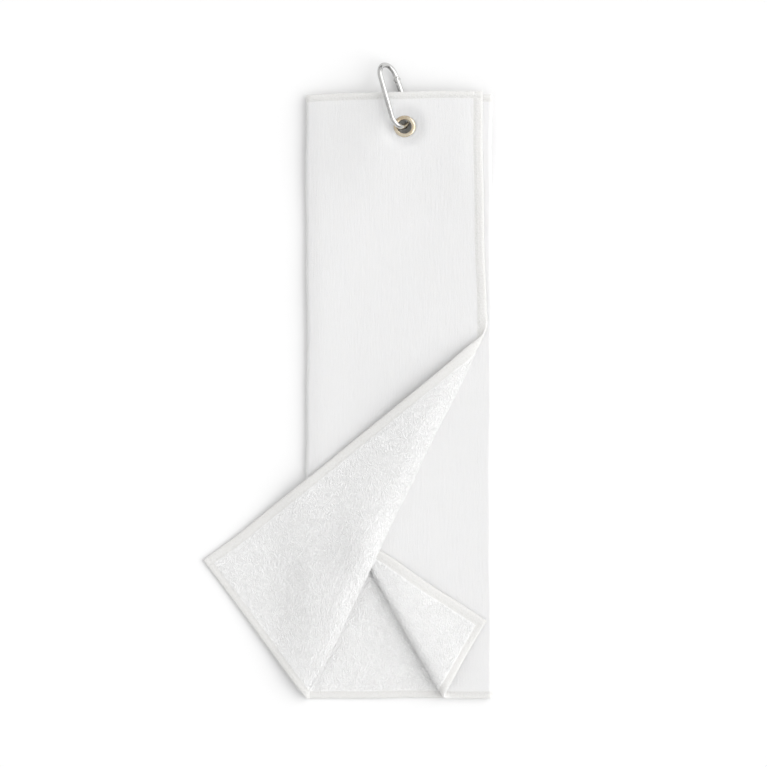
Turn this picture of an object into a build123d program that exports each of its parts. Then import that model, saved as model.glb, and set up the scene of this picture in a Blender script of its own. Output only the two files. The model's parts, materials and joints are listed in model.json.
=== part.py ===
from build123d import *
import os
from math import cos, radians, sin, sqrt

# Golf towel: one hemmed terry cloth folded in three, pinned by a brass eyelet near its top edge, with a
# small spring-gate snap hook through the eyelet. It lies on its back panel with two lower corners
# turned back, and the snap hook lies through the eyelet with its gate under the cloth.
#
# Frame, in millimetres: the origin is the middle of the back panel's underside, +X across the towel,
# +Y along it towards the eyelet, +Z up off the surface it lies on.

# ---- Cloth -------------------------------------------------------------------------------------------
TOWEL_LENGTH = 457.0  # top hem to bottom hem
BACK_PANEL_WIDTH = 141.0  # between the two long folds, over their outsides
FRONT_FLAP_WIDTH = 136.5  # left fold to the front flap's free edge
INNER_FLAP_WIDTH = 108.8  # right fold to the inner flap's free edge
CLOTH_THICKNESS = 2.1
LAYER_GAP = 0.15  # between two layers that lie on each other

# ---- Turned-back corners -----------------------------------------------------------------------------
FRONT_CREASE_START = 281.0  # up the front flap's free edge, from the bottom hem
FRONT_TAKE_UP = 9.0  # how far the roll at the crease pulls the corner's tip back
INNER_CREASE_START = 128.3  # up the inner flap's free edge, from the bottom hem
INNER_CREASE_END = 72.6  # along the bottom hem, from the inner flap's free edge
INNER_TAKE_UP = 4.5
DROOP_RUN = 24.0  # across which the front corner comes down beside the left fold

# ---- Top end, lifted by the gate under it --------------------------------------------------------------
LIFT_RUN = 62.0  # along which the cloth rises
LIFT_END = 36.0  # from the top edge to where the rise ends

# ---- Hems and their seams ------------------------------------------------------------------------------
END_HEM = 5.6  # from a top or bottom edge to its seam
SIDE_HEM = 7.4  # from a flap's free edge to its seam
THREAD_WIDTH = 0.5
THREAD_HEIGHT = 0.4
THREAD_STAND = 0.12  # of the thread's height, proud of the cloth

# ---- Eyelet --------------------------------------------------------------------------------------------
EYELET_ACROSS = 4.2  # right of the back panel's middle
EYELET_DOWN = 24.6  # below the top edge
EYELET_BORE = 10.4
EYELET_WALL = 0.45
FLANGE_DIAMETER = 16.4
FLANGE_HEIGHT = 0.75
SQUEEZED_STACK = 3.0  # three layers of cloth, squeezed between flange and washer
WASHER_THICKNESS = 0.4
CURL_WIDTH = 1.5
CURL_HEIGHT = 0.65
EYELET_CLEARANCE = 0.15  # round the barrel
DIMPLE_CLEARANCE = 0.4  # round the flange

# ---- Snap hook, in its own plane: across, then along towards the narrow end ------------------------------
HOOK_LENGTH = 48.8  # over the wire's centre line
HOOK_WIRE = 3.9
HOOK_WIDE_RADIUS = 10.75  # of the wide end, which passes through the eyelet
HOOK_NARROW_RADIUS = 7.9  # of the bend between spine and narrow end
HOOK_LEAN = 15.8  # degrees, to the left of the towel's length
HOOK_ROLL = 53.0  # degrees, spine up and gate down
HOOK_THROUGH = 1.5  # from the wide end's middle to where the wire crosses the eyelet
FLOOR_CLEARANCE = 0.05

# ---- Gate ----------------------------------------------------------------------------------------------
GATE_LEAN = 5.0  # degrees, between gate and spine
GATE_DIAMETER = 4.4
GATE_BORE = 2.6
GATE_BORE_START = 1.2  # from the pivot
GATE_BORE_END = 18.0  # from the pivot
SLOT_WIDTH = 1.8
SLOT_CLEARANCE = 0.13  # beyond the hinge tongue's corners
TONGUE_THICKNESS = 1.6
TONGUE_WIDTH = 3.1
TONGUE_REACH = 1.3  # past the pivot
PIVOT_DIAMETER = 1.5
PIVOT_CLEARANCE = 0.05
RIVET_HEAD_DIAMETER = 2.3
RIVET_HEAD_HEIGHT = 0.3
SHOULDER_GAP = 0.35  # between the gate's ends and the wire's shoulders
LATCH_DIAMETER = 1.4
LATCH_FROM_END = 2.2  # latch pin to the gate's lower end
LATCH_CLEARANCE = 0.15
LATCH_TIP = 1.3  # of the latch tongue, past its notch
LATCH_STEM = 1.0  # behind the notch
LATCH_MOUTH = 1.5  # from the latch pin to the tongue's inner side
LATCH_SLOT_CLEARANCE = 0.8  # beyond the latch tongue's tip

# ---- Gate spring ---------------------------------------------------------------------------------------
FOLLOWER_LENGTH = 3.2
FOLLOWER_CLEARANCE = 0.1  # in the bore
FOLLOWER_GAP = 0.06  # to the tongue
SPRING_WIRE = 0.35
SPRING_TURNS = 9
SPRING_CLEARANCE = 0.12  # in the bore, and at both ends

# ---- Worked out from the sizes above -------------------------------------------------------------------
PITCH = CLOTH_THICKNESS + LAYER_GAP
STACK = 2 * PITCH + CLOTH_THICKNESS
LEFT, RIGHT = -BACK_PANEL_WIDTH / 2, BACK_PANEL_WIDTH / 2
BOTTOM, TOP = -TOWEL_LENGTH / 2, TOWEL_LENGTH / 2
FRONT_EDGE = LEFT + FRONT_FLAP_WIDTH
INNER_EDGE = RIGHT - INNER_FLAP_WIDTH
LEFT_FOLD_RADIUS = STACK / 2
TIGHT_FOLD_RADIUS = CLOTH_THICKNESS + LAYER_GAP / 2

GATE_OUTWARD = Vector(cos(radians(GATE_LEAN)), sin(radians(GATE_LEAN)))
GATE_DOWNWARD = Vector(sin(radians(GATE_LEAN)), -cos(radians(GATE_LEAN)))
WIDE_CENTRE = Vector(0, HOOK_WIDE_RADIUS)
GATE_FOOT = WIDE_CENTRE + GATE_OUTWARD * HOOK_WIDE_RADIUS
NARROW_CENTRE = Vector(HOOK_NARROW_RADIUS - HOOK_WIDE_RADIUS, HOOK_LENGTH - HOOK_NARROW_RADIUS)
# The shoulder's arc leaves the narrow end level and meets the gate's line without a kink.
SHOULDER_RADIUS = (
    HOOK_WIDE_RADIUS - NARROW_CENTRE.X * GATE_OUTWARD.X - (HOOK_LENGTH - HOOK_WIDE_RADIUS) * GATE_OUTWARD.Y
) / (1 - GATE_OUTWARD.Y)
SHOULDER_CENTRE = Vector(NARROW_CENTRE.X, HOOK_LENGTH - SHOULDER_RADIUS)
SHOULDER_END = SHOULDER_CENTRE + GATE_OUTWARD * SHOULDER_RADIUS
PIVOT = SHOULDER_END + GATE_DOWNWARD * (GATE_DIAMETER / 2 + SHOULDER_GAP)
GATE_LENGTH = (GATE_FOOT - PIVOT).length - SHOULDER_GAP
LATCH_PIN = GATE_LENGTH - LATCH_FROM_END

# The wire crosses the eyelet's middle, and the gate's foot clears the surface under the towel.
CROSSING = Vector(HOOK_THROUGH, HOOK_WIDE_RADIUS - sqrt(HOOK_WIDE_RADIUS**2 - HOOK_THROUGH**2))
EYELET_HEIGHT = FLOOR_CLEARANCE + GATE_DIAMETER / 2 + (GATE_FOOT.X - CROSSING.X) * sin(radians(HOOK_ROLL))
EYELET_CENTRE = Vector(EYELET_ACROSS, TOP - EYELET_DOWN, EYELET_HEIGHT)
LIFT = EYELET_HEIGHT - STACK / 2

LEAN, ROLL = radians(HOOK_LEAN), radians(HOOK_ROLL)
HOOK_ACROSS = Vector(cos(LEAN) * cos(ROLL), sin(LEAN) * cos(ROLL), -sin(ROLL))
HOOK_ALONG = Vector(-sin(LEAN), cos(LEAN), 0)
HOOK_NORMAL = HOOK_ACROSS.cross(HOOK_ALONG)
HOOK_ORIGIN = EYELET_CENTRE - HOOK_ACROSS * CROSSING.X - HOOK_ALONG * CROSSING.Y
HOOK_PLANE = Plane(origin=HOOK_ORIGIN, x_dir=HOOK_ACROSS, z_dir=HOOK_NORMAL)
# The gate's own place: the pivot at its origin, +X outward, -Y down to the latch, +Z along the rivet.
GATE_PLACE = HOOK_PLANE.location * Pos(PIVOT.X, PIVOT.Y, 0) * Rot(0, 0, GATE_LEAN)


# ---- Cloth -------------------------------------------------------------------------------------------
def strip(x_from, x_to, z_from, z_to):
    return Pos((x_from + x_to) / 2, (z_from + z_to) / 2) * Rectangle(x_to - x_from, z_to - z_from)


def half_ring(outer_radius, thickness):
    """Half of a flat ring, on the +X side of its middle."""
    ring = Circle(outer_radius) - Circle(outer_radius - thickness)
    return ring & Pos(outer_radius, 0) * Rectangle(2 * outer_radius, 4 * outer_radius)


def folded_section(stand, thickness):
    """The folded towel's section, across and up, of this thickness from this far outside its outer face."""
    left_fold = half_ring(LEFT_FOLD_RADIUS + stand, thickness)
    right_fold = half_ring(TIGHT_FOLD_RADIUS + stand, thickness)
    back_from, back_to = LEFT + LEFT_FOLD_RADIUS, RIGHT - TIGHT_FOLD_RADIUS
    back = strip(back_from, back_to, -stand, thickness - stand)
    inner_top = 2 * TIGHT_FOLD_RADIUS + stand
    inner_flap = strip(INNER_EDGE, back_to, inner_top - thickness, inner_top)
    front_top = STACK + stand
    front_flap = strip(back_from, FRONT_EDGE, front_top - thickness, front_top)
    folds = Pos(back_from, LEFT_FOLD_RADIUS) * Rot(0, 0, 180) * left_fold
    folds += Pos(back_to, TIGHT_FOLD_RADIUS) * right_fold
    return back + folds + inner_flap + front_flap


def level_bends(start, end, level_direction):
    """Two equal arcs from start to end, level at both."""
    middle = (start + end) / 2
    first = TangentArc(start, middle, tangent=level_direction)
    second = TangentArc(middle, end, tangent=first % 1)
    return [first, second]


def lengthwise_path(start):
    """Along the towel from start to the top edge, rising where the gate lifts the cloth."""
    foot = Vector(start.X, TOP - LIFT_END - LIFT_RUN, start.Z)
    head = Vector(start.X, TOP - LIFT_END, start.Z + LIFT)
    end = Vector(start.X, TOP, start.Z + LIFT)
    return Wire([Line(start, foot), *level_bends(foot, head, (0, 1, 0)), Line(head, end)])


def across_plane(y):
    """Faces along the towel, with its x across and its y up."""
    return Plane(origin=(0, y, 0), x_dir=(1, 0, 0), z_dir=(0, -1, 0))


def prism(corners, z_from, z_to):
    return Pos(0, 0, z_from) * extrude(make_face(Polyline(*corners, close=True)), z_to - z_from)


def turned_tip(start, end, corner, take_up):
    """Where a corner comes to when it is turned over the crease from start to end."""
    along = (end - start).normalized()
    foot = start + along * (corner - start).dot(along)
    outward = (corner - foot).normalized()
    return foot - outward * ((corner - foot).length - take_up)


def crease_roll(start, end, corner, height):
    """The cloth's half turn along a crease, about a line at this height."""
    along = (end - start).normalized()
    outward = corner - start - along * (corner - start).dot(along)
    place = Plane(origin=start + Vector(0, 0, height), x_dir=outward, z_dir=along)
    roll = extrude(place * half_ring(TIGHT_FOLD_RADIUS, CLOTH_THICKNESS), (end - start).length)
    return roll - Pos(0, BOTTOM - STACK, 0) * Box(2 * BACK_PANEL_WIDTH, 2 * STACK, 8 * STACK)


FRONT_START = Vector(FRONT_EDGE, BOTTOM + FRONT_CREASE_START)
FRONT_END = Vector(LEFT, BOTTOM)
FRONT_CORNER = Vector(FRONT_EDGE, BOTTOM)
FRONT_TIP = turned_tip(FRONT_START, FRONT_END, FRONT_CORNER, FRONT_TAKE_UP)
INNER_START = Vector(INNER_EDGE, BOTTOM + INNER_CREASE_START)
INNER_END = Vector(INNER_EDGE + INNER_CREASE_END, BOTTOM)
INNER_CORNER = Vector(INNER_EDGE, BOTTOM)
INNER_TIP = turned_tip(INNER_START, INNER_END, INNER_CORNER, INNER_TAKE_UP)


def beyond_creases():
    """The two corners' places before they were turned, over the layers under them."""
    margin = STACK  # past the cloth's edges
    front_floor = STACK - CLOTH_THICKNESS - LAYER_GAP / 2
    front_right = FRONT_EDGE + margin
    front = [
        FRONT_START,
        FRONT_END,
        (FRONT_END.X, BOTTOM - margin),
        (front_right, BOTTOM - margin),
        (front_right, FRONT_START.Y),
    ]
    inner = [
        INNER_START,
        INNER_END,
        (INNER_END.X, BOTTOM - margin),
        (INNER_EDGE - margin, BOTTOM - margin),
        (INNER_EDGE - margin, INNER_START.Y),
    ]
    return prism(front, front_floor, STACK + margin) + prism(inner, PITCH - LAYER_GAP / 2, front_floor)


def front_corner_sheet(stand, thickness):
    """A sheet over the towel and down beside its left fold, measured from the turned corner's upper face."""
    high, low = STACK + PITCH + stand - thickness / 2, CLOTH_THICKNESS + stand - thickness / 2
    start = Vector(RIGHT, BOTTOM, high)
    over = Vector(LEFT, BOTTOM, high)
    down = Vector(LEFT - DROOP_RUN, BOTTOM, low)
    end = Vector(FRONT_TIP.X - DROOP_RUN, BOTTOM, low)
    path = Wire([Line(start, over), *level_bends(over, down, (-1, 0, 0)), Line(down, end)])
    side = Plane(origin=start, x_dir=(0, 1, 0), z_dir=(-1, 0, 0))
    section = side * Pos(TOWEL_LENGTH / 2, 0) * Rectangle(TOWEL_LENGTH, thickness)
    return sweep(section, path=path)


def towel_cloth():
    path = lengthwise_path(Vector(0, BOTTOM, 0))
    cloth = sweep(across_plane(BOTTOM) * folded_section(0, CLOTH_THICKNESS), path=path)
    cloth -= beyond_creases()
    front_plan = prism([FRONT_START, FRONT_END, FRONT_TIP], 0, STACK + 2 * PITCH)
    cloth += front_corner_sheet(0, CLOTH_THICKNESS) & front_plan
    cloth += crease_roll(FRONT_START, FRONT_END, FRONT_CORNER, STACK + LAYER_GAP / 2)
    inner_corner = prism([INNER_START, INNER_END, INNER_TIP], 2 * PITCH, 2 * PITCH + CLOTH_THICKNESS)
    cloth += inner_corner
    cloth += crease_roll(INNER_START, INNER_END, INNER_CORNER, 2 * PITCH - LAYER_GAP / 2)
    hole = Cylinder(EYELET_BORE / 2 + EYELET_WALL + EYELET_CLEARANCE, 2 * STACK)
    dimple_depth = STACK
    dimple_offset = (SQUEEZED_STACK + dimple_depth) / 2
    dimple = Cylinder(FLANGE_DIAMETER / 2 + DIMPLE_CLEARANCE, dimple_depth)
    cuts = [hole, Pos(0, 0, dimple_offset) * dimple, Pos(0, 0, -dimple_offset) * dimple]
    return cloth - [Pos(EYELET_CENTRE) * cut for cut in cuts]


# ---- Seams -------------------------------------------------------------------------------------------
def seam_plan(start, end, inner_side, hem):
    """A line's width of seam, this hem in from the edge from start to end."""
    along = (end - start).normalized()
    inward = inner_side - start - along * (inner_side - start).dot(along)
    inward = inward.normalized()
    near = start + inward * (hem - THREAD_WIDTH / 2)
    far = start + inward * (hem + THREAD_WIDTH / 2)
    run = along * (end - start).length
    return prism([near, near + run, far + run, far], 0, STACK + 2 * PITCH)


def front_corner_seam(start, end, inner_side, hem):
    face = front_corner_sheet(THREAD_STAND, THREAD_HEIGHT)
    plan = prism([FRONT_START, FRONT_END, FRONT_TIP], 0, STACK + 2 * PITCH)
    return face & seam_plan(start, end, inner_side, hem) & plan


def inner_corner_seam(start, end, inner_side, hem):
    top = 2 * PITCH + CLOTH_THICKNESS + THREAD_STAND
    face = prism([INNER_START, INNER_END, INNER_TIP], top - THREAD_HEIGHT, top)
    return face & seam_plan(start, end, inner_side, hem)


def lengthwise_seam(x, top, y_from):
    """A side seam on a flap's upper face, up to the top hem's seam."""
    start = Vector(x, y_from, top + THREAD_STAND - THREAD_HEIGHT / 2)
    section = across_plane(y_from) * Pos(x, start.Z) * Rectangle(THREAD_WIDTH, THREAD_HEIGHT)
    seam = sweep(section, path=lengthwise_path(start))
    top_hem = Pos(x, TOP, STACK) * Box(2 * SIDE_HEM, 2 * (END_HEM + THREAD_WIDTH), 4 * STACK)
    return seam - top_hem


def hem_thread_top():
    section = across_plane(TOP - END_HEM) * Pos(0, LIFT) * folded_section(THREAD_STAND, THREAD_HEIGHT)
    return extrude(section, THREAD_WIDTH / 2, both=True)


def hem_thread_bottom():
    seam_y = BOTTOM + END_HEM
    seam = extrude(across_plane(seam_y) * folded_section(0, THREAD_HEIGHT), THREAD_WIDTH / 2, both=True)
    seam -= beyond_creases()
    front = front_corner_seam(FRONT_END, FRONT_TIP, FRONT_START, END_HEM)
    inner = inner_corner_seam(INNER_END, INNER_TIP, INNER_START, END_HEM)
    upper_top = CLOTH_THICKNESS + THREAD_STAND
    upper_section = strip(LEFT + LEFT_FOLD_RADIUS, INNER_END.X, upper_top - THREAD_HEIGHT, upper_top)
    upper = extrude(across_plane(seam_y) * upper_section, THREAD_WIDTH / 2, both=True)
    return Compound([*seam.solids(), *front.solids(), *inner.solids(), *upper.solids()])


def hem_thread_front_edge():
    x = FRONT_EDGE - SIDE_HEM
    crease_rise = FRONT_CREASE_START / FRONT_FLAP_WIDTH * SIDE_HEM
    flap = lengthwise_seam(x, STACK, FRONT_START.Y - crease_rise)
    corner = front_corner_seam(FRONT_START, FRONT_TIP, FRONT_END, SIDE_HEM)
    corner -= seam_plan(FRONT_END, FRONT_TIP, FRONT_START, END_HEM)
    return Compound([*flap.solids(), *corner.solids()])


def hem_thread_inner_edge():
    x = INNER_EDGE + SIDE_HEM
    crease_rise = INNER_CREASE_START / INNER_CREASE_END * SIDE_HEM
    flap = lengthwise_seam(x, PITCH + CLOTH_THICKNESS, INNER_START.Y - crease_rise)
    corner = inner_corner_seam(INNER_START, INNER_TIP, INNER_END, SIDE_HEM)
    corner -= seam_plan(INNER_END, INNER_TIP, INNER_START, END_HEM)
    return Compound([*flap.solids(), *corner.solids()])


# ---- Eyelet ------------------------------------------------------------------------------------------
def turned(outline):
    """A ring about the eyelet's axis, from its outline as radius and height above the cloth's middle."""
    face = Plane.XZ * make_face(outline)
    return Pos(EYELET_CENTRE) * revolve(face, Axis.Z)


def grommet_eyelet():
    bore = EYELET_BORE / 2
    barrel = bore + EYELET_WALL
    rim = FLANGE_DIAMETER / 2
    seat = SQUEEZED_STACK / 2
    crown = seat + FLANGE_HEIGHT
    rim_edge = seat + FLANGE_HEIGHT / 4
    curl_top = -seat - WASHER_THICKNESS
    curl = barrel + CURL_WIDTH
    curl_bottom = curl_top - CURL_HEIGHT
    curl_middle = curl_top - CURL_HEIGHT / 2
    throat = seat - EYELET_WALL
    outline = [
        Line((bore, curl_middle), (bore, throat)),
        ThreePointArc((bore, throat), (bore + 0.35, crown - 0.3), ((bore + rim) / 2, crown)),
        ThreePointArc(((bore + rim) / 2, crown), (rim - 0.45, rim_edge + 0.35), (rim, rim_edge)),
        Line((rim, rim_edge), (rim, seat)),
        Line((rim, seat), (barrel, seat)),
        Line((barrel, seat), (barrel, curl_top)),
        Line((barrel, curl_top), (curl, curl_top)),
        RadiusArc((curl, curl_top), (curl - CURL_HEIGHT, curl_bottom), CURL_HEIGHT),
        Line((curl - CURL_HEIGHT, curl_bottom), (bore + CURL_HEIGHT / 2, curl_bottom)),
        RadiusArc((bore + CURL_HEIGHT / 2, curl_bottom), (bore, curl_middle), CURL_HEIGHT / 2),
    ]
    return turned(outline)


def grommet_washer():
    inner, outer = EYELET_BORE / 2 + EYELET_WALL + EYELET_CLEARANCE, FLANGE_DIAMETER / 2
    top = -SQUEEZED_STACK / 2
    corners = [(inner, top), (outer, top), (outer, top - WASHER_THICKNESS), (inner, top - WASHER_THICKNESS)]
    return turned(Polyline(*corners, close=True))


# ---- Snap hook ---------------------------------------------------------------------------------------
def gate_plate(outline, thickness):
    """A flat piece in the hook's plane, as thick as this about it, from an outline in the gate's place."""
    return extrude(outline, thickness / 2, both=True)


def gate_area(across_from, across_to, down_from, down_to):
    width, height = across_to - across_from, down_to - down_from
    return Pos((across_from + across_to) / 2, -(down_from + down_to) / 2) * Rectangle(width, height)


def gate_rod(diameter, down_from, down_to):
    return Pos(0, -(down_from + down_to) / 2, 0) * Rot(90, 0, 0) * Cylinder(diameter / 2, down_to - down_from)


def clip_frame():
    narrow_start = (NARROW_CENTRE.X - HOOK_NARROW_RADIUS, NARROW_CENTRE.Y)
    path = Wire(
        [
            CenterArc(WIDE_CENTRE, HOOK_WIDE_RADIUS, GATE_LEAN, -180 - GATE_LEAN),
            Line((-HOOK_WIDE_RADIUS, HOOK_WIDE_RADIUS), narrow_start),
            CenterArc(NARROW_CENTRE, HOOK_NARROW_RADIUS, 180, -90),
            CenterArc(SHOULDER_CENTRE, SHOULDER_RADIUS, 90, GATE_LEAN - 90),
        ]
    )
    start = Plane(origin=GATE_FOOT, z_dir=GATE_DOWNWARD)
    wire = HOOK_PLANE * sweep(start * Circle(HOOK_WIRE / 2), path=path)

    root = GATE_DIAMETER / 2 + SHOULDER_GAP + TONGUE_THICKNESS / 2  # sunk into the wire's end
    hinge = gate_area(-TONGUE_WIDTH / 2, TONGUE_WIDTH / 2, -root, TONGUE_REACH)
    hinge -= Circle(PIVOT_DIAMETER / 2 + PIVOT_CLEARANCE)

    notch_radius = LATCH_DIAMETER / 2 + LATCH_CLEARANCE
    tip = LATCH_PIN - notch_radius - LATCH_TIP
    base = GATE_LENGTH + SHOULDER_GAP + TONGUE_THICKNESS / 2
    latch = gate_area(-LATCH_MOUTH, notch_radius + LATCH_STEM, tip, base)
    latch -= gate_area(-2 * LATCH_MOUTH, 0, LATCH_PIN - notch_radius, LATCH_PIN + notch_radius)
    latch -= Pos(0, -LATCH_PIN) * Circle(notch_radius)
    return wire + GATE_PLACE * (gate_plate(hinge, TONGUE_THICKNESS) + gate_plate(latch, TONGUE_THICKNESS))


def gate_envelope():
    """The gate's outside, with its hinged end rounded about the pivot."""
    side = gate_area(-GATE_DIAMETER / 2, GATE_DIAMETER / 2, 0, GATE_LENGTH) + Circle(GATE_DIAMETER / 2)
    return gate_plate(side, GATE_DIAMETER) & gate_rod(GATE_DIAMETER, -GATE_DIAMETER, GATE_LENGTH)


def gate_tube():
    tongue_corner = sqrt(TONGUE_REACH**2 + (TONGUE_WIDTH / 2) ** 2)
    latch_tip = LATCH_PIN - LATCH_DIAMETER / 2 - LATCH_CLEARANCE - LATCH_TIP
    hinge_slot = gate_area(-GATE_DIAMETER, GATE_DIAMETER, -GATE_DIAMETER, tongue_corner + SLOT_CLEARANCE)
    latch_slot = gate_area(
        -GATE_DIAMETER, GATE_DIAMETER, latch_tip - LATCH_SLOT_CLEARANCE, GATE_LENGTH + GATE_DIAMETER
    )
    gate = gate_envelope() - gate_plate(hinge_slot, SLOT_WIDTH) - gate_plate(latch_slot, SLOT_WIDTH)
    gate -= gate_rod(GATE_BORE, GATE_BORE_START, GATE_BORE_END)
    gate -= Cylinder(PIVOT_DIAMETER / 2, 2 * GATE_DIAMETER)
    gate -= Pos(0, -LATCH_PIN, 0) * Cylinder(LATCH_DIAMETER / 2, 2 * GATE_DIAMETER)
    return GATE_PLACE * gate


def gate_pivot_rivet():
    length = GATE_DIAMETER + 2 * RIVET_HEAD_HEIGHT
    heads = Cylinder(RIVET_HEAD_DIAMETER / 2, length) - gate_envelope()
    return GATE_PLACE * (Cylinder(PIVOT_DIAMETER / 2, length) + heads)


def gate_latch_pin():
    pin = Pos(0, -LATCH_PIN, 0) * Cylinder(LATCH_DIAMETER / 2, 2 * GATE_DIAMETER)
    return GATE_PLACE * (pin & gate_envelope())


def spring_follower():
    top = TONGUE_REACH + FOLLOWER_GAP
    return GATE_PLACE * gate_rod(GATE_BORE - 2 * FOLLOWER_CLEARANCE, top, top + FOLLOWER_LENGTH)


def gate_spring():
    radius = GATE_BORE / 2 - SPRING_CLEARANCE - SPRING_WIRE / 2
    end_room = SPRING_CLEARANCE + SPRING_WIRE / 2
    top = TONGUE_REACH + FOLLOWER_GAP + FOLLOWER_LENGTH + end_room
    length = GATE_BORE_END - end_room - top
    coil = Helix(length / SPRING_TURNS, length, radius)
    section = Plane(origin=coil @ 0, z_dir=coil % 0) * Circle(SPRING_WIRE / 2)
    spring = sweep(section, path=coil, is_frenet=True)
    return GATE_PLACE * (Pos(0, -top, 0) * Rot(90, 0, 0) * spring)


# ---- One file for each piece -----------------------------------------------------------------------------
PIECES = [
    towel_cloth,
    hem_thread_top,
    hem_thread_bottom,
    hem_thread_front_edge,
    hem_thread_inner_edge,
    grommet_eyelet,
    grommet_washer,
    clip_frame,
    gate_tube,
    gate_pivot_rivet,
    gate_latch_pin,
    gate_spring,
    spring_follower,
]

os.makedirs("parts", exist_ok=True)
for piece in PIECES:
    export_step(piece(), f"parts/{piece.__name__}.step")
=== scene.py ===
import json
import math

import bpy
import numpy as np
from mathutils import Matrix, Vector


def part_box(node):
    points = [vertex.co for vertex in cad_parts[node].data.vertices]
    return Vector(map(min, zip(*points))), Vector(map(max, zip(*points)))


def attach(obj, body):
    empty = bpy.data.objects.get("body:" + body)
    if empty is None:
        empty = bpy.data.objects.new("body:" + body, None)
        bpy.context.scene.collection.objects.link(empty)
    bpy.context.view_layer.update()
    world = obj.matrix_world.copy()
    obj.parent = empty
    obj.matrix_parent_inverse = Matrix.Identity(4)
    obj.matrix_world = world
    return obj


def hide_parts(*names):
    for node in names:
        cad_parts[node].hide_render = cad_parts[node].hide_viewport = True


# A golf towel folded in three, lying on its back panel with two lower corners turned back. The cloth,
# its terry loops and its stitches are modelled here; the eyelet and the snap hook are the frame's own.
# Lengths are in millimetres until a mesh is made, and metres after that.

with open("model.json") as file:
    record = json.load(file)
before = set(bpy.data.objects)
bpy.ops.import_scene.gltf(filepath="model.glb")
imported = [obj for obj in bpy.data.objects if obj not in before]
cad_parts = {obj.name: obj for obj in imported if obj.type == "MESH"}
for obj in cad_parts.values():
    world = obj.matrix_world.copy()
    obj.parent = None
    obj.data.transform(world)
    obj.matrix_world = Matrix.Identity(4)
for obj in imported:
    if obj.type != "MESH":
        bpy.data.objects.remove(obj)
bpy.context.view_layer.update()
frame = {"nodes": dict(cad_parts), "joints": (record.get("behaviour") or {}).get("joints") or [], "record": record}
bpy.ops.object.select_all(action="DESELECT")
rng = np.random.default_rng(7)
MM = 0.001


def frame_box(node):
    """A node's lowest and highest corners."""
    return [np.array(corner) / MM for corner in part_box(node)]


cloth_low, cloth_high = frame_box("towel_cloth")
flange_low, flange_high = frame_box("grommet_eyelet")
joint_at = {joint["name"]: np.array(joint["pos_m"]) / MM for joint in frame["joints"]}
eyelet_at = joint_at["clip_swing"]

# ---- Sizes of the cloth, as it is folded ----------------------------------------------------------------
RIGHT, TOP = cloth_high[0], cloth_high[1]
LEFT, BOTTOM = -RIGHT, cloth_low[1]
THICKNESS = 2.1
LAYER_GAP = 0.15
PITCH = THICKNESS + LAYER_GAP
STACK = 2 * PITCH + THICKNESS
FRONT_FLAP_WIDTH = 136.5
INNER_FLAP_WIDTH = 108.8
FRONT_EDGE = LEFT + FRONT_FLAP_WIDTH
INNER_EDGE = RIGHT - INNER_FLAP_WIDTH
LEFT_FOLD = (STACK - THICKNESS) / 2  # radius of the cloth's middle
RIGHT_FOLD = PITCH / 2
LEFT_AXIS = LEFT + STACK / 2
RIGHT_AXIS = RIGHT - PITCH + LAYER_GAP / 2
SIDE_HEM, END_HEM = 7.4, 5.6
SEAM_INSET = 1.1  # from a hem's inner edge to its seam

# The cut is measured across from the front flap's edge, through both folds, to the inner flap's edge.
FRONT_RUN = FRONT_EDGE - LEFT_AXIS
LEFT_TURN = math.pi * LEFT_FOLD
BACK_RUN = RIGHT_AXIS - LEFT_AXIS
RIGHT_TURN = math.pi * RIGHT_FOLD
INNER_RUN = RIGHT_AXIS - INNER_EDGE
LEFT_START = FRONT_RUN
BACK_START = LEFT_START + LEFT_TURN
RIGHT_START = BACK_START + BACK_RUN
INNER_START = RIGHT_START + RIGHT_TURN
CUT_WIDTH = INNER_START + INNER_RUN
CUT_LENGTH = TOP - BOTTOM

# ---- How the corners are turned back and how the cloth lies ---------------------------------------------
# A crease runs down from the flap's edge to the bottom hem. The cloth beyond it rolls up, with its radius
# given at shares of the crease, wider than high by the flatness, and settles to rest over the panel.
FRONT_CREASE_START = 281.0
INNER_CREASE_START = 128.3
INNER_CREASE_END = 72.6
FRONT_CORNER = {
    "start": np.array([FRONT_EDGE, BOTTOM + FRONT_CREASE_START]),
    "end": np.array([LEFT, BOTTOM]),
    "outside": 1,
    "radii": [(0, 4.0), (0.25, 8.3), (0.7, 8.3), (1, 1.4)],
    "flatness": 1.29,
    "rest": PITCH + 0.2,
    "settle": 38.0,
}
INNER_CORNER = {
    "start": np.array([INNER_EDGE, BOTTOM + INNER_CREASE_START]),
    "end": np.array([INNER_EDGE + INNER_CREASE_END, BOTTOM]),
    "outside": -1,
    "radii": [(0, 1.3), (0.2, 1.6), (0.5, 4.4), (0.85, 5.2), (1, 4.6)],
    "flatness": 1.08,
    "rest": PITCH + 0.6,
    "settle": 26.0,
}
SLACK = 0.035  # the share of a turned corner's reach that its waves take up

FOLD_PRESS, FOLD_PRESS_REACH = 0.18, 8  # the left fold is pressed flatter than its layers' stack
ASKEW, ASKEW_REACH = 0.019, 140  # the front flap's slant above its corner
HUMP, HUMP_AT, HUMP_SPREAD = 5.0, (-24, -118), (19, 24)  # the front flap over the small corner
DROOP_EARLY, DROOP_REACH = 5, 34  # the big corner comes down beside the left fold
TIP_REST, DROOP_BEND, DROOP_BEND_REACH = 0.3, 4.2, 70  # how high it lies at its tip, and more by the fold
LIFT = eyelet_at[2] - STACK / 2  # of the top end, which lies on the gate
LIFT_FROM, LIFT_TO = TOP - 98, TOP - 36
LEFT_SAG = {"share": 0.75, "start": 16, "reach": 58}  # how the lift fades on either side of the eyelet
RIGHT_SAG = {"share": 0.5, "start": 38, "reach": 38}
RIPPLE = 0.9
SQUEEZE, SQUEEZE_RADIUS, SQUEEZE_REACH = 0.55, 19, 9  # of the three layers, round the eyelet
LEVEL_RADIUS = 30  # the layers come together at the eyelet's height within this
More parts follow.
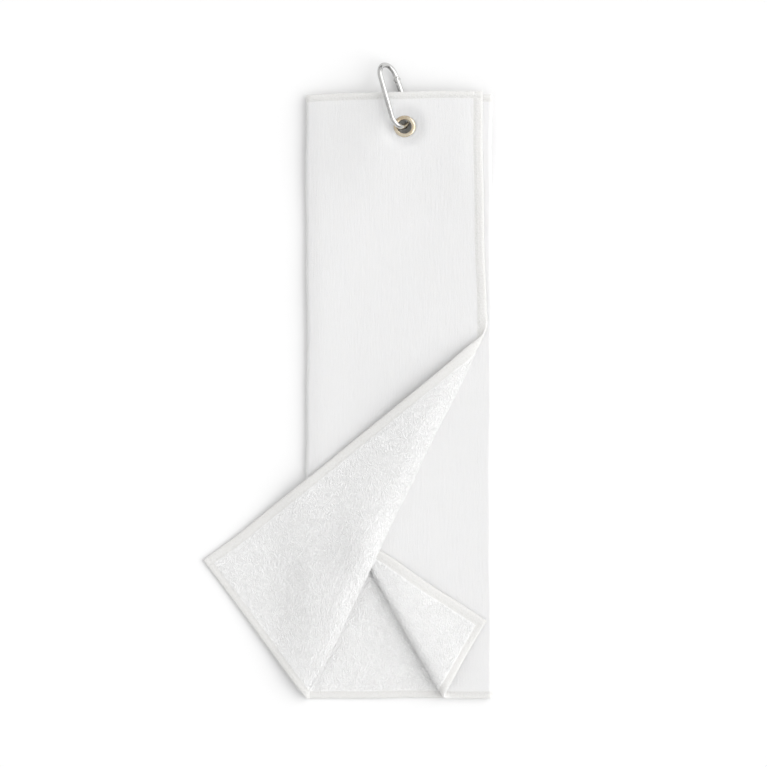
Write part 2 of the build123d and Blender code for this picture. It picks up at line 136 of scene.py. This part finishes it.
WOBBLE_RADIUS, WOBBLE_REACH = 14, 30  # the edges waver outside this
FIELD_LOFT, HEM_LOFT, SEAM_PINCH, PUCKER = 0.80, 0.18, 0.30, 0.07  # shares of the half thickness
SEAM_WIDTH, RIM_WIDTH, RIM_LOFT = 0.55, 1.6, 0.55


def smooth(x):
    x = np.clip(x, 0, 1)
    return x * x * (3 - 2 * x)


def along_points(place, points):
    """A smooth value along a crease from a few (place, value) pairs."""
    value = np.full_like(place, points[0][1])
    for (start, low), (end, high) in zip(points, points[1:]):
        value = value + (high - low) * smooth((place - start) / (end - start))
    return value


def turn_back(x, y, z, weight, corner):
    """Rolls the cloth beyond a crease up and back over itself. Returns its place and how far it turned."""
    crease = corner["end"] - corner["start"]
    length = np.linalg.norm(crease)
    along = crease / length
    outward = corner["outside"] * np.array([-along[1], along[0]])
    from_start = np.stack([x - corner["start"][0], y - corner["start"][1]], -1)
    place = from_start @ along / length
    beyond = from_start @ outward
    radius = along_points(np.clip(place, 0, 1), corner["radii"])
    wide = radius * corner["flatness"]
    high = radius * math.sqrt(2 - corner["flatness"] ** 2)
    rolled = beyond + wide
    angle = np.clip(rolled / radius, 0, math.pi)
    over = np.maximum(rolled - math.pi * radius, 0)
    across = np.where(rolled <= 0, beyond, wide * (np.sin(angle) - 1) - (1 - SLACK) * over)
    height = high * (1 - np.cos(angle))
    settled = corner["rest"] + (2 * high - corner["rest"]) * np.exp(-((over / corner["settle"]) ** 2))
    height = np.where(over > 0, settled, height)
    shift = (across - beyond) * weight
    turned = weight * angle / math.pi
    return x + shift * outward[0], y + shift * outward[1], z + height * weight, turned


def ripple(x, y):
    """The gentle unevenness of a cloth that lies by itself, from 0 up."""
    waves = (
        np.sin(x / 23 + 0.7 * np.sin(y / 61)) * np.sin(y / 47 + 1.3)
        + 0.6 * np.sin(x / 14 - y / 33 + 2.1)
        + 0.5 * np.sin(x / 37 + y / 19)
    )
    return 0.5 + waves / 4.2


def sagging(aside, share, start, reach):
    """The share of the top end's lift that is lost this far aside of the eyelet."""
    return share * smooth((aside - start) / reach)


def laid(s, t):
    """Where the cloth's middle lies: s across the cut from the front flap's edge, t up it from the bottom.

    Returns the places, how far each is turned back (0 to 1) and the share of its thickness that it keeps."""
    s, t = np.broadcast_arrays(np.asarray(s, float), np.asarray(t, float))
    y = BOTTOM + t
    left_angle = np.clip((s - LEFT_START) / LEFT_FOLD, 0, math.pi)
    right_angle = np.clip((s - RIGHT_START) / RIGHT_FOLD, 0, math.pi)
    x = FRONT_EDGE - np.minimum(s, FRONT_RUN)
    x = x - LEFT_FOLD * np.sin(left_angle) + np.clip(s - BACK_START, 0, BACK_RUN)
    x = x + RIGHT_FOLD * np.sin(right_angle) - np.maximum(s - INNER_START, 0)
    z = THICKNESS / 2 + LEFT_FOLD * (1 + np.cos(left_angle)) + RIGHT_FOLD * (1 - np.cos(right_angle))

    pressed = 1 - FOLD_PRESS * np.exp(-((np.maximum(x - LEFT, 0) / FOLD_PRESS_REACH) ** 2))
    z = z * pressed
    front = smooth((LEFT_START + LEFT_TURN / 2 - s) / (LEFT_TURN / 2))
    inner = smooth((s - INNER_START + RIGHT_TURN / 2) / RIGHT_TURN)
    # The front flap is folded a little askew, so its edge leans left and its top end stands higher.
    askew = ASKEW * front
    above = y - FRONT_CORNER["start"][1]
    x = x - askew * above * (x - LEFT) / FRONT_FLAP_WIDTH * (above > 0)
    y = y + askew * (x - LEFT) * smooth(above / ASKEW_REACH)

    x, y, z, front_turn = turn_back(x, y, z, front, FRONT_CORNER)
    x, y, z, inner_turn = turn_back(x, y, z, inner, INNER_CORNER)
    turned = np.where(front > 0, front_turn, inner_turn)

    # The front flap humps over the small corner under it.
    from_hump = ((x - HUMP_AT[0]) / HUMP_SPREAD[0]) ** 2 + ((y - HUMP_AT[1]) / HUMP_SPREAD[1]) ** 2
    z = z + HUMP * np.exp(-from_hump) * front
    # The turned front corner comes down beside the left fold.
    past_fold = LEFT - x
    droop = smooth((past_fold + DROOP_EARLY) / DROOP_REACH) * smooth(front_turn * 2 - 1)
    bend = DROOP_BEND * (1 - smooth(past_fold / DROOP_BEND_REACH))
    z = z - droop * (z - THICKNESS / 2 - TIP_REST - bend)
    # The gate under the top end lifts it, less towards its sides.
    rise = smooth((y - LIFT_FROM) / (LIFT_TO - LIFT_FROM))
    aside = x - eyelet_at[0]
    sag = np.where(aside < 0, sagging(-aside, **LEFT_SAG), sagging(aside, **RIGHT_SAG))
    z = z + LIFT * rise * (1 - sag)
    z = z + RIPPLE * ripple(x, y) * (1 - droop)
    # The eyelet squeezes the three layers together, and only the cloth away from it is free to waver.
    near = np.hypot(x - eyelet_at[0], y - eyelet_at[1])
    squeezed = 1 - SQUEEZE * smooth((SQUEEZE_RADIUS - near) / SQUEEZE_REACH)
    free = smooth((near - WOBBLE_RADIUS) / WOBBLE_REACH)
    x = x + free * (0.40 * np.sin(y / 37 + 0.5) + 0.22 * np.sin(y / 12.5 + x / 31))
    y = y + free * (0.38 * np.sin(x / 27 + 1.2) + 0.20 * np.sin(x / 10.5 + y / 40))
    level = np.where(near < LEVEL_RADIUS, eyelet_at[2], z)
    z = level + (z - level) * squeezed
    return np.stack([x, y, z], -1), turned, squeezed * np.where(turned > 0.5, 1, pressed)


def half_thickness(s, t):
    """Half the cloth's thickness: fuller at the doubled hems, pinched along their seams."""
    side = np.minimum(s, CUT_WIDTH - s)
    end = np.minimum(t, CUT_LENGTH - t)
    hem = np.maximum(smooth(SIDE_HEM - side + 0.5), smooth(END_HEM - end + 0.5))
    side_seam = np.exp(-(((side - SIDE_HEM + SEAM_INSET) / SEAM_WIDTH) ** 2))
    end_seam = np.exp(-(((end - END_HEM + SEAM_INSET) / SEAM_WIDTH) ** 2))
    seam = np.maximum(side_seam, end_seam)
    rim = smooth(np.minimum(side, end) / RIM_WIDTH)
    pucker = PUCKER * hem * (np.sin(2.06 * (s + t)) + np.sin(0.83 * (s - t) + 1.0))
    loft = FIELD_LOFT + HEM_LOFT * hem - SEAM_PINCH * seam + pucker
    return THICKNESS / 2 * loft * (RIM_LOFT + (1 - RIM_LOFT) * rim)


def surface(s, t, side, proud=0.0):
    """Points on the cloth's terry face (side 1) or velour face (side -1), and their outward normals."""
    step = 0.25
    middle, _, kept = laid(s, t)
    by_s = laid(np.minimum(s + step, CUT_WIDTH), t)[0] - laid(np.maximum(s - step, 0), t)[0]
    by_t = laid(s, np.minimum(t + step, CUT_LENGTH))[0] - laid(s, np.maximum(t - step, 0))[0]
    normal = np.cross(by_s, by_t)
    normal /= np.linalg.norm(normal, axis=-1, keepdims=True)
    offset = side * (half_thickness(s, t) * kept + proud)
    return middle + normal * offset[..., None], normal * side


def make_piece(name, points, faces, body):
    mesh = bpy.data.meshes.new(name)
    mesh.from_pydata((np.asarray(points) * MM).tolist(), [], faces)
    piece = bpy.data.objects.new(name, mesh)
    bpy.context.scene.collection.objects.link(piece)
    mesh.polygons.foreach_set("use_smooth", np.ones(len(mesh.polygons), bool))
    mesh.update()
    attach(piece, body)
    return piece


# ---- Shader maths ----------------------------------------------------------------------------------------
class Value:
    """A socket whose arithmetic adds Math nodes."""

    def __init__(self, tree, socket):
        self.tree, self.socket = tree, socket

    def math(self, operation, *others):
        node = self.tree.nodes.new("ShaderNodeMath")
        node.operation = operation
        for place, value in zip(node.inputs, (self, *others)):
            connect(self.tree, value, place)
        return Value(self.tree, node.outputs[0])

    def __add__(self, other):
        return self.math("ADD", other)

    __radd__ = __add__

    def __mul__(self, other):
        return self.math("MULTIPLY", other)

    __rmul__ = __mul__

    def __rsub__(self, other):
        return (self * -1) + other

    def less(self, other):
        return self.math("MINIMUM", other)

    def more(self, other):
        return self.math("MAXIMUM", other)

    def ramp(self, low, high):
        """0 at low, 1 at high."""
        node = self.tree.nodes.new("ShaderNodeMapRange")
        node.interpolation_type = "SMOOTHSTEP"
        connect(self.tree, self, node.inputs["Value"])
        node.inputs["From Min"].default_value = low
        node.inputs["From Max"].default_value = high
        return Value(self.tree, node.outputs["Result"])


def connect(tree, value, place):
    """Feeds a socket from a value, or sets it to a constant."""
    if isinstance(value, Value):
        tree.links.new(value.socket, place)
    else:
        place.default_value = value


def split(vector):
    """The three numbers of a vector value."""
    parts = vector.tree.nodes.new("ShaderNodeSeparateXYZ")
    connect(vector.tree, vector, parts.inputs[0])
    return [Value(vector.tree, part) for part in parts.outputs]


class Finish:
    """A material on one Principled shader, with a way to add any node."""

    def __init__(self, name, **constants):
        self.material = bpy.data.materials.new(name)
        self.material.use_nodes = True
        self.tree = self.material.node_tree
        self.shader = self.tree.nodes["Principled BSDF"]
        for key, value in constants.items():
            self.shader.inputs[key.replace("_", " ")].default_value = value

    def node(self, kind, output=0, settings=None, **inputs):
        node = self.tree.nodes.new("ShaderNode" + kind)
        for key, value in (settings or {}).items():
            setattr(node, key, value)
        for key, value in inputs.items():
            connect(self.tree, value, node.inputs[key.replace("_", " ")])
        return Value(self.tree, node.outputs[output])

    def own_place(self):
        """The object's own coordinates, in metres."""
        return self.node("TexCoord", 3)

    def noise(self, where, scale, detail=3.0, rough=0.6):
        return self.node("TexNoise", Vector=where, Scale=scale, Detail=detail, Roughness=rough)

    def stretched(self, where, scale):
        return self.node("Mapping", Vector=where, Scale=scale)

    def blend(self, low, high, amount):
        node = self.tree.nodes.new("ShaderNodeMix")
        node.data_type = "RGBA"
        connect(self.tree, amount, node.inputs["Factor"])
        connect(self.tree, low, node.inputs[6])
        connect(self.tree, high, node.inputs[7])
        return Value(self.tree, node.outputs[2])

    def bump(self, height, distance, strength):
        return self.node("Bump", Height=height, Distance=distance, Strength=strength)

    def feed(self, **sockets):
        for key, value in sockets.items():
            connect(self.tree, value, self.shader.inputs[key.replace("_", " ")])
        return self.material


def cut_place(finish):
    """The cloth's own coordinates: metres across and up the cut, from the 'cut' attribute."""
    where = finish.node("Attribute", 1, {"attribute_name": "cut"})
    across, up, _ = split(where)
    return where, across, up


def hem_mask(finish, across, up):
    """1 in the hems and 0 in the field."""
    side = across.less(CUT_WIDTH * MM - across)
    end = up.less(CUT_LENGTH * MM - up)
    side_hem = 1 - side.ramp((SIDE_HEM - 0.6) * MM, (SIDE_HEM + 0.6) * MM)
    end_hem = 1 - end.ramp((END_HEM - 0.6) * MM, (END_HEM + 0.6) * MM)
    return side_hem.more(end_hem)


# ---- Materials -------------------------------------------------------------------------------------------
VELOUR_WHITE, VELOUR_SHADE = (0.876, 0.872, 0.868, 1), (0.864, 0.860, 0.856, 1)
GROUND_WHITE, GROUND_SHADE = (0.965, 0.963, 0.960, 1), (0.945, 0.943, 0.940, 1)
HEM_WHITE, HEM_SHADE = (0.804, 0.798, 0.784, 1), (0.755, 0.748, 0.731, 1)
LOOP_WHITE, LOOP_SHADE = (0.934, 0.933, 0.930, 1), (0.900, 0.899, 0.896, 1)
THREAD_WHITE, THREAD_SHADE = (0.82, 0.817, 0.80, 1), (0.76, 0.755, 0.735, 1)
NICKEL_BRIGHT, NICKEL_DULL = (0.66, 0.66, 0.65, 1), (0.54, 0.54, 0.535, 1)
BRASS_BRIGHT, BRASS_DULL = (0.74, 0.66, 0.52, 1), (0.56, 0.45, 0.31, 1)
STEEL_BRIGHT, STEEL_DULL = (0.55, 0.55, 0.56, 1), (0.42, 0.42, 0.43, 1)
COTTON_DEPTH = {"Subsurface_Radius": (1.0, 0.98, 0.94), "Subsurface_Scale": 0.003}


def hem_weave(finish, where):
    """The plain weave of the hems: its height and its colour."""
    weave = finish.noise(finish.stretched(where, (760, 760, 1)), 1.0, 3.0, 0.6)
    return weave, finish.blend(HEM_SHADE, HEM_WHITE, weave.ramp(0.3, 0.6))


def velour():
    """The outer face: cropped pile, brushed along the towel's length."""
    finish = Finish("velour_cotton", Roughness=0.95, Sheen_Weight=0.25, Sheen_Roughness=0.5)
    finish.feed(Subsurface_Weight=0.6, **COTTON_DEPTH)
    where, across, up = cut_place(finish)
    hem = hem_mask(finish, across, up)
    streaks = finish.noise(finish.stretched(where, (620, 60, 1)), 1.0, 4.0, 0.65)
    fuzz = finish.noise(where, 2600.0, 2.0, 0.7)
    patches = finish.noise(where, 45.0, 3.0, 0.5)
    weave, band = hem_weave(finish, where)
    field = finish.blend(VELOUR_SHADE, VELOUR_WHITE, (streaks * 0.7 + patches * 0.3).ramp(0.30, 0.55))
    colour = finish.blend(field, band, hem)
    height = (streaks * 0.55 + fuzz * 0.45) * (1 - hem) + weave * hem * 0.9
    return finish.feed(Base_Color=colour, Normal=finish.bump(height, 0.0006, 0.9))


def terry_ground():
    """The inner face between its loops."""
    finish = Finish("terry_ground", Roughness=0.97, Sheen_Weight=0.2, Sheen_Roughness=0.5)
    finish.feed(Subsurface_Weight=0.25, **COTTON_DEPTH)
    where, across, up = cut_place(finish)
    hem = hem_mask(finish, across, up)
    rows = finish.noise(finish.stretched(where, (520, 560, 1)), 1.0, 2.0, 0.5)
    weave, band = hem_weave(finish, where)
    field = finish.blend(GROUND_SHADE, GROUND_WHITE, rows.ramp(0.35, 0.6))
    colour = finish.blend(field, band, hem)
    height = rows * (1 - hem) + weave * hem * 0.8
    return finish.feed(Base_Color=colour, Normal=finish.bump(height, 0.0009, 0.8))


def loop_yarn():
    finish = Finish("terry_loop_yarn", Roughness=0.9, Sheen_Weight=0.25, Sheen_Roughness=0.45)
    where = finish.own_place()
    tone = finish.noise(where, 260.0, 2.0, 0.5)
    twist = finish.noise(where, 5200.0, 1.0, 0.4)
    colour = finish.blend(LOOP_SHADE, LOOP_WHITE, tone.ramp(0.35, 0.62))
    return finish.feed(Base_Color=colour, Normal=finish.bump(twist, 0.0001, 0.6))


def thread_cotton():
    finish = Finish("thread_cotton", Roughness=0.75, Sheen_Weight=0.15)
    where = finish.own_place()
    twist = finish.noise(where, 4200.0, 1.0, 0.4)
    colour = finish.blend(THREAD_SHADE, THREAD_WHITE, twist.ramp(0.35, 0.65))
    return finish.feed(Base_Color=colour, Normal=finish.bump(twist, 0.00012, 0.7))


def plated(name, bright, dull, roughness, rough_spread):
    """Bright plated metal with faint handling marks."""
    finish = Finish(name, Metallic=1.0)
    where = finish.own_place()
    marks = finish.noise(finish.stretched(where, (900, 260, 900)), 1.0, 4.0, 0.65)
    cloudy = finish.noise(where, 160.0, 3.0, 0.55)
    colour = finish.blend(dull, bright, cloudy.ramp(0.3, 0.6))
    rough = roughness + marks.ramp(0.45, 0.8) * rough_spread
    return finish.feed(Base_Color=colour, Roughness=rough, Normal=finish.bump(marks, 0.00002, 0.4))


# ---- Cloth -----------------------------------------------------------------------------------------------
CELL, FINE_CELL = 2.4, 0.9  # of the cloth's grid, fine over its folds and hems
FINE_SIDE, FINE_END = 9, 7
FLANGE_COVER = 2.4  # how far the eyelet's flange covers the cloth round its hole


def grid_lines(total, fine_spans):
    """Places from 0 to total, closer together in the fine spans."""
    places = [0.0]
    while places[-1] < total - 1e-6:
        here = places[-1]
        fine = any(low - CELL <= here <= high for low, high in fine_spans)
        places.append(min(here + (FINE_CELL if fine else CELL), total))
    if places[-1] - places[-2] < FINE_CELL / 2:
        places.pop(-2)
    return np.array(places)


def make_cloth():
    """Both faces of the cloth over one grid of its cut, open at the eyelet and closed round every edge."""
    sides = [(0, FINE_SIDE), (CUT_WIDTH - FINE_SIDE, CUT_WIDTH)]
    folds = [(LEFT_START, BACK_START), (RIGHT_START, INNER_START)]
    ends = [(0, FINE_END), (CUT_LENGTH - FINE_END, CUT_LENGTH)]
    s, t = np.meshgrid(grid_lines(CUT_WIDTH, sides + folds), grid_lines(CUT_LENGTH, ends), indexing="ij")
    terry, _ = surface(s, t, 1)
    pile, _ = surface(s, t, -1)
    columns, rows = s.shape
    near = np.hypot(terry[..., 0] - eyelet_at[0], terry[..., 1] - eyelet_at[1])
    hole = near < (flange_high[0] - flange_low[0]) / 2 - FLANGE_COVER
    index = np.arange(columns * rows).reshape(columns, rows)
    quads = np.stack([index[:-1, :-1], index[1:, :-1], index[1:, 1:], index[:-1, 1:]], -1).reshape(-1, 4)
    upper = quads[~hole.reshape(-1)[quads].any(1)]
    count = columns * rows
    lower = upper[:, ::-1] + count
    edges = np.concatenate([upper[:, [k, (k + 1) % 4]] for k in range(4)])
    known = {tuple(edge) for edge in edges.tolist()}
    rim = [(b, a, a + count, b + count) for a, b in known if (b, a) not in known]
    faces = upper.tolist() + lower.tolist() + rim
    points = np.concatenate([terry.reshape(-1, 3), pile.reshape(-1, 3)])
    used = np.unique(np.array(faces))
    renumber = np.zeros(len(points), int)
    renumber[used] = np.arange(len(used))
    faces = renumber[np.array(faces)].tolist()
    cloth = make_piece("towel_terry_cloth", points[used], faces, "towel")

    cut = np.stack([s.reshape(-1), t.reshape(-1), np.ones(count)], -1) * MM
    cut = np.concatenate([cut, cut * [1, 1, -1]])
    place = cloth.data.attributes.new("cut", "FLOAT_VECTOR", "POINT")
    place.data.foreach_set("vector", cut[used].reshape(-1))
    cloth.data.materials.append(terry_ground())
    cloth.data.materials.append(velour())
    slots = np.zeros(len(faces), np.int32)
    slots[len(upper) :] = 1
    cloth.data.polygons.foreach_set("material_index", slots)
    return cloth


# ---- Terry loops -----------------------------------------------------------------------------------------
LOOP_PITCH, LOOP_JITTER = 1.06, 0.36
LOOP_HEIGHT, LOOP_HALF_WIDTH = (0.62, 1.08), (0.38, 0.70)
LOOP_LEAN = 0.38
YARN_RADIUS = 0.33
LOOP_FOOT = -0.45  # under the terry face
LOOP_SECTIONS, YARN_SIDES = 6, 4
TURNED = 0.45  # cloth turned further than this shows its loops
HIDDEN_ABOVE = 112  # up the cut, where the front flap hides the small corner and the back panel
BARE_LEFT, BARE_RIGHT = 8, 3  # how far the back panel's loops go on under the two corners
BARE_RIGHT_SLOPE = 65.4 / 106.0  # of that stretch's right side, which runs up to the left


def unit(vectors):
    return vectors / np.linalg.norm(vectors, axis=1, keepdims=True)


def make_loops(name, s, t):
    """Yarn loops standing on the terry face at these places of the cut."""
    size = len(s)
    foot, normal = surface(s, t, 1, LOOP_FOOT)
    turn = rng.uniform(0, 2 * math.pi, size)
    lean = rng.normal(0, LOOP_LEAN, (size, 2))
    height = rng.uniform(*LOOP_HEIGHT, size)
    half_width = rng.uniform(*LOOP_HALF_WIDTH, size)
    east = unit(np.cross([0.0, 1.0, 0.0], normal))
    north = np.cross(normal, east)
    run = east * np.cos(turn)[:, None] + north * np.sin(turn)[:, None]
    up = unit(normal + east * lean[:, :1] + north * lean[:, 1:])
    side = unit(np.cross(run, up))
    points = []
    for a in np.linspace(0, math.pi, LOOP_SECTIONS):
        aside, risen = half_width * math.cos(a), height * math.sin(a) ** 0.8
        centre = foot + run * aside[:, None] + up * risen[:, None]
        outward = run * math.cos(a) + up * math.sin(a)
        for b in np.arange(YARN_SIDES) * 2 * math.pi / YARN_SIDES:
            points.append(centre + YARN_RADIUS * (outward * math.cos(b) + side * math.sin(b)))
    points = np.stack(points, 1)
    faces = []
    for row in range(LOOP_SECTIONS - 1):
        for k in range(YARN_SIDES):
            low, high = row * YARN_SIDES + k, row * YARN_SIDES + (k + 1) % YARN_SIDES
            faces.append((low, high, high + YARN_SIDES, low + YARN_SIDES))
    base = np.arange(size)[:, None, None] * LOOP_SECTIONS * YARN_SIDES
    all_faces = (base + np.array(faces)[None]).reshape(-1, 4)
    loops = make_piece(name, points.reshape(-1, 3), all_faces.tolist(), "towel")
    loops.data.materials.append(loop_yarn())
    return loops


def loop_places(s_from, s_to, t_to):
    """Jittered places over a stretch of the cut, from its bottom edge up."""
    s, t = np.meshgrid(np.arange(s_from, s_to, LOOP_PITCH), np.arange(0, t_to, LOOP_PITCH), indexing="ij")
    s, t = s.reshape(-1), t.reshape(-1)
    s = s + rng.uniform(-LOOP_JITTER, LOOP_JITTER, s.size) * LOOP_PITCH
    t = t + rng.uniform(-LOOP_JITTER, LOOP_JITTER, t.size) * LOOP_PITCH
    return s, t


def field_only(s, t):
    """Where the cut has loops: inside its hems."""
    margin = 0.5
    side, end = np.minimum(s, CUT_WIDTH - s), np.minimum(t, CUT_LENGTH - t)
    return (side > SIDE_HEM + margin) & (end > END_HEM + margin)


def make_all_loops():
    made = []
    s, t = loop_places(0, FRONT_RUN + LEFT_TURN / 2, FRONT_CREASE_START + 9)
    keep = field_only(s, t) & (laid(s, t)[1] > TURNED)
    s, t = s[keep], t[keep]
    order = np.argsort(t, kind="stable")
    for part, chosen in enumerate(np.array_split(order, 5)):
        made.append(make_loops(f"terry_loops_front_corner_{part + 1}", s[chosen], t[chosen]))
    s, t = loop_places(INNER_START + RIGHT_TURN, CUT_WIDTH, HIDDEN_ABOVE)
    keep = field_only(s, t) & (laid(s, t)[1] > TURNED)
    made.append(make_loops("terry_loops_inner_corner", s[keep], t[keep]))
    s, t = loop_places(BACK_START, RIGHT_START, HIDDEN_ABOVE)
    x, y = laid(s, t)[0][:, 0], laid(s, t)[0][:, 1]
    left_side = FRONT_CORNER["end"][0] + (y - BOTTOM) * FRONT_FLAP_WIDTH / FRONT_CREASE_START
    right_side = INNER_CORNER["end"][0] - (y - BOTTOM) * BARE_RIGHT_SLOPE
    keep = field_only(s, t) & (x > left_side - BARE_LEFT) & (x < right_side + BARE_RIGHT)
    made.append(make_loops("terry_loops_back_panel", s[keep], t[keep]))
    return made


# ---- Stitches --------------------------------------------------------------------------------------------
STITCH_LENGTH, STITCH_GAP = 2.5, 0.55
STITCH_SIDES = 6
# Each section of a stitch: its share of the length, its radius, and how far it stands off the cloth.
STITCH_SECTIONS = [
    (0.0, 0.10, -0.25),
    (0.2, 0.21, 0.0),
    (0.5, 0.24, 0.06),
    (0.8, 0.21, 0.0),
    (1.0, 0.10, -0.25),
]
SEAM_END = 1.5  # from a seam's end to the cloth's edge


def stitch_faces():
    """The faces of one stitch, its two ends closed."""
    rows, around = len(STITCH_SECTIONS), STITCH_SIDES
    faces = []
    for row in range(rows - 1):
        for k in range(around):
            low, high = row * around + k, row * around + (k + 1) % around
            faces.append((low, high, high + around, low + around))
    faces.append(tuple(reversed(range(around))))
    faces.append(tuple(range((rows - 1) * around, rows * around)))
    return faces


def stitch_points(start, end, side):
    """The points of every stitch along a straight run of the cut, on one face of the cloth."""
    start, end = np.array(start, float), np.array(end, float)
    whole = np.linalg.norm(end - start)
    along = (end - start) / whole
    starts = np.arange(STITCH_GAP, whole - STITCH_LENGTH, STITCH_LENGTH + STITCH_GAP)
    sections = []
    for share, radius, stand in STITCH_SECTIONS:
        at = start + along * (starts[:, None] + share * STITCH_LENGTH)
        ahead = at + along * 0.2
        here, normal = surface(at[:, 0], at[:, 1], side, stand)
        there, _ = surface(ahead[:, 0], ahead[:, 1], side, stand)
        sideways = np.cross(unit(there - here), normal)
        for k in range(STITCH_SIDES):
            angle = 2 * math.pi * k / STITCH_SIDES
            sections.append(here + radius * (normal * math.cos(angle) + sideways * math.sin(angle)))
    return np.stack(sections, 1).reshape(-1, 3)


def make_stitches(name, node, start, end):
    """The short thread stitches of one seam, on the cloth's terry and velour faces."""
    points = np.concatenate([stitch_points(start, end, side) for side in (1, -1)])
    one = stitch_faces()
    step = len(STITCH_SECTIONS) * STITCH_SIDES
    faces = [tuple(base + i for i in face) for base in range(0, len(points), step) for face in one]
    stitches = make_piece(name, points, faces, "towel")
    stitches.data.materials.append(thread_cotton())
    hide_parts(node)
    return stitches


def make_all_stitches():
    side, across = SIDE_HEM - SEAM_INSET, END_HEM - SEAM_INSET
    first, far_s, far_t = SEAM_END, CUT_WIDTH - SEAM_END, CUT_LENGTH - SEAM_END
    seams = {
        "top": ((first, CUT_LENGTH - across), (far_s, CUT_LENGTH - across)),
        "bottom": ((first, across), (far_s, across)),
        "front_edge": ((side, first), (side, far_t)),
        "inner_edge": ((CUT_WIDTH - side, first), (CUT_WIDTH - side, far_t)),
    }
    made = []
    for seam, (start, end) in seams.items():
        made.append(make_stitches(f"hem_stitches_{seam}", f"hem_thread_{seam}", start, end))
    return made


# ---- Light, floor and camera -----------------------------------------------------------------------------
FLOOR_SIZE, FLOOR_LEVEL = 8, -0.0004  # metres
KEY_STRENGTH, KEY_ANGLE = 1.8, math.radians(76)
KEY_TILT, KEY_TURN = math.radians(53), math.radians(4)  # from the right, a little from the top end
SURROUND, SURROUND_HORIZON, SURROUND_RISE = 0.775, 0.12, 0.33
LENS, SENSOR = 200, 36
FIELD, FIELD_CENTRE = 0.581, (-0.0117, 0.0098)  # metres across at the floor, seen from straight above


def make_floor():
    bpy.ops.mesh.primitive_plane_add(size=FLOOR_SIZE, location=(0, 0, FLOOR_LEVEL))
    floor = bpy.context.object
    floor.name = "floor"
    finish = Finish("floor_white", Base_Color=(0.93, 0.93, 0.93, 1), Roughness=0.9, Specular_IOR_Level=0.1)
    floor.data.materials.append(finish.material)


def make_world():
    """An even white surround that darkens towards its horizon, which gives the metal its edges."""
    world = bpy.data.worlds.new("studio")
    world.use_nodes = True
    tree = world.node_tree
    direction = Value(tree, tree.nodes.new("ShaderNodeTexCoord").outputs["Generated"])
    height = split(direction)[2]
    glow = SURROUND_HORIZON + (1 - SURROUND_HORIZON) * height.ramp(0.0, SURROUND_RISE)
    background = tree.nodes["Background"]
    background.inputs["Color"].default_value = (1, 1, 1, 1)
    connect(tree, glow * SURROUND, background.inputs["Strength"])
    bpy.context.scene.world = world


def make_studio():
    scene = bpy.context.scene
    scene.view_settings.view_transform = "Standard"
    make_world()
    bpy.ops.object.light_add(type="SUN", rotation=(0, KEY_TILT, KEY_TURN))
    key = bpy.context.object
    key.name = "key"
    key.data.energy = KEY_STRENGTH
    key.data.angle = KEY_ANGLE
    camera = bpy.data.cameras.new("camera")
    camera.lens, camera.sensor_width = LENS, SENSOR
    eye = bpy.data.objects.new("camera", camera)
    eye.location = (*FIELD_CENTRE, FIELD * LENS / SENSOR)
    scene.collection.objects.link(eye)
    scene.camera = eye


def dress_metal():
    """Gives the frame's own eyelet, snap hook and spring their metals."""
    finishes = {
        "clip_nickel": plated("bright_nickel", NICKEL_BRIGHT, NICKEL_DULL, 0.17, 0.15),
        "eyelet_brass": plated("bright_brass", BRASS_BRIGHT, BRASS_DULL, 0.20, 0.18),
        "spring_steel": plated("spring_steel", STEEL_BRIGHT, STEEL_DULL, 0.24, 0.14),
    }
    for part in frame["record"]["subparts"]:
        if part["material_slot"] in finishes:
            mesh = frame["nodes"][part["node"]].data
            mesh.materials.clear()
            mesh.materials.append(finishes[part["material_slot"]])


make_floor()
make_studio()
cloth = make_cloth()
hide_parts("towel_cloth")
trim = make_all_loops() + make_all_stitches()
CUT_WIDTH * MM
dress_metal()
